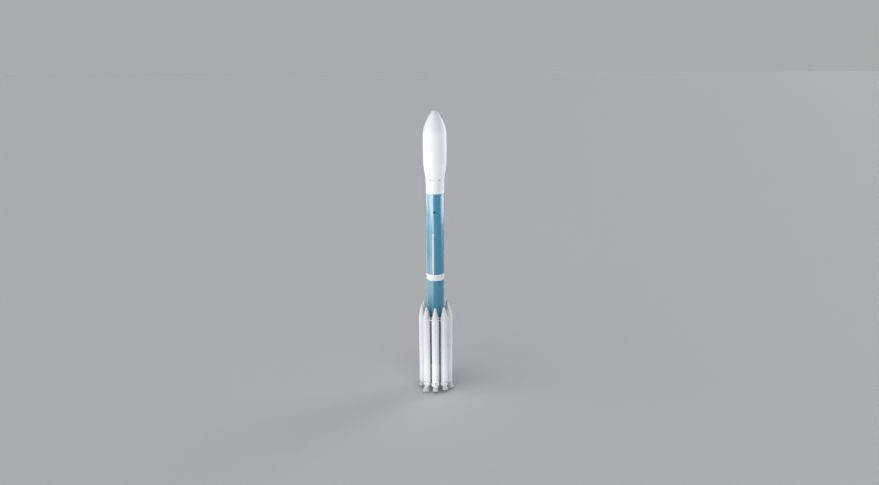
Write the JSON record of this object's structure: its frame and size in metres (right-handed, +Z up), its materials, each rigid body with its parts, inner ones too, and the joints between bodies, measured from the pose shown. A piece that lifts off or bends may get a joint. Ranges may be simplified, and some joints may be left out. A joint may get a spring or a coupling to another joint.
{
  "type": "two-stage space rocket with strap-on boosters",
  "caption": "Upright space rocket: white fairing, teal core with a white band, ring of white strap-on boosters with canted nozzles, gimballed main engine.",
  "frame": {"origin": "on the vehicle's axis, in the plane of the hold-down feet that rest on the launch stand", "axes": "+Z up along the axis to the fairing's tip; -Y is the side that the picture shows; +X is its right"},
  "size_m": [5.0987, 5.0428, 39.4025],
  "materials": {
    "fairing_white": "white paint on composite shell",
    "body_white": "satin white paint",
    "tank_teal": "glossy teal paint",
    "engine_section_grey": "light grey paint",
    "fitting_white": "white thermal coating",
    "booster_white": "satin white paint on wound case",
    "nozzle_white": "white insulation outside, dark liner inside",
    "bare_metal": "machined",
    "adapter_metal": "chemical film",
    "engine_metal": "heat-tinted steel"
  },
  "bodies": {
    "core": {"lower_tank": "tank_teal", "centre_body": "body_white", "upper_tank": "tank_teal", "interstage": "tank_teal", "upper_skirt": "body_white", "engine_section": "engine_section_grey", "thrust_frame": "bare_metal", "holddown_ring": "bare_metal", "forward_attach_ring": "fitting_white", "aft_attach_ring": "fitting_white", "cable_tunnel_1": "tank_teal", "cable_tunnel_2": "tank_teal", "payload_adapter": "adapter_metal", "vernier_mount_left": "bare_metal", "vernier_mount_right": "bare_metal", "booster_nose_1": "booster_white", "booster_case_1": "booster_white", "booster_nozzle_1": "nozzle_white", "booster_nose_2": "booster_white", "booster_case_2": "booster_white", "booster_nozzle_2": "nozzle_white", "booster_nose_3": "booster_white", "booster_case_3": "booster_white", "booster_nozzle_3": "nozzle_white", "booster_nose_4": "booster_white", "booster_case_4": "booster_white", "booster_nozzle_4": "nozzle_white", "booster_nose_5": "booster_white", "booster_case_5": "booster_white", "booster_nozzle_5": "nozzle_white", "booster_nose_6": "booster_white", "booster_case_6": "booster_white", "booster_nozzle_6": "nozzle_white", "booster_nose_7": "booster_white", "booster_case_7": "booster_white", "booster_nozzle_7": "nozzle_white", "booster_nose_8": "booster_white", "booster_case_8": "booster_white", "booster_nozzle_8": "nozzle_white", "booster_nose_9": "booster_white", "booster_case_9": "booster_white", "booster_nozzle_9": "nozzle_white"},
    "gimbal_cross": {"gimbal_cross": "bare_metal"},
    "main_engine": {"thrust_chamber": "engine_metal", "engine_bell": "engine_metal", "turbopump": "engine_metal", "exhaust_duct": "engine_metal"},
    "vernier_left": {"vernier_engine_left": "engine_metal"},
    "vernier_right": {"vernier_engine_right": "engine_metal"},
    "fairing_left": {"fairing_half_left": "fairing_white"},
    "fairing_right": {"fairing_half_right": "fairing_white"}
  },
  "joints": [
    {"name": "main_engine_pitch", "type": "hinge", "parent": "core", "child": "gimbal_cross", "pos_m": [0, 0, 2.3], "axis": [1, 0, 0], "range_deg": [-5, 5]},
    {"name": "main_engine_yaw", "type": "hinge", "parent": "gimbal_cross", "child": "main_engine", "pos_m": [0, 0, 2.3], "axis": [0, 1, 0], "range_deg": [-5, 5]},
    {"name": "vernier_left_swing", "type": "hinge", "parent": "core", "child": "vernier_left", "pos_m": [-1, 0, 0.4], "axis": [1, 0, 0], "range_deg": [-30, 30]},
    {"name": "vernier_right_swing", "type": "hinge", "parent": "core", "child": "vernier_right", "pos_m": [1, 0, 0.4], "axis": [1, 0, 0], "range_deg": [-30, 30]},
    {"name": "fairing_left_release", "type": "slide", "parent": "core", "child": "fairing_left", "axis": [-1, 0, 0], "range_m": [0, 1.7]},
    {"name": "fairing_right_release", "type": "slide", "parent": "core", "child": "fairing_right", "axis": [1, 0, 0], "range_m": [0, 1.7]}
  ]
}
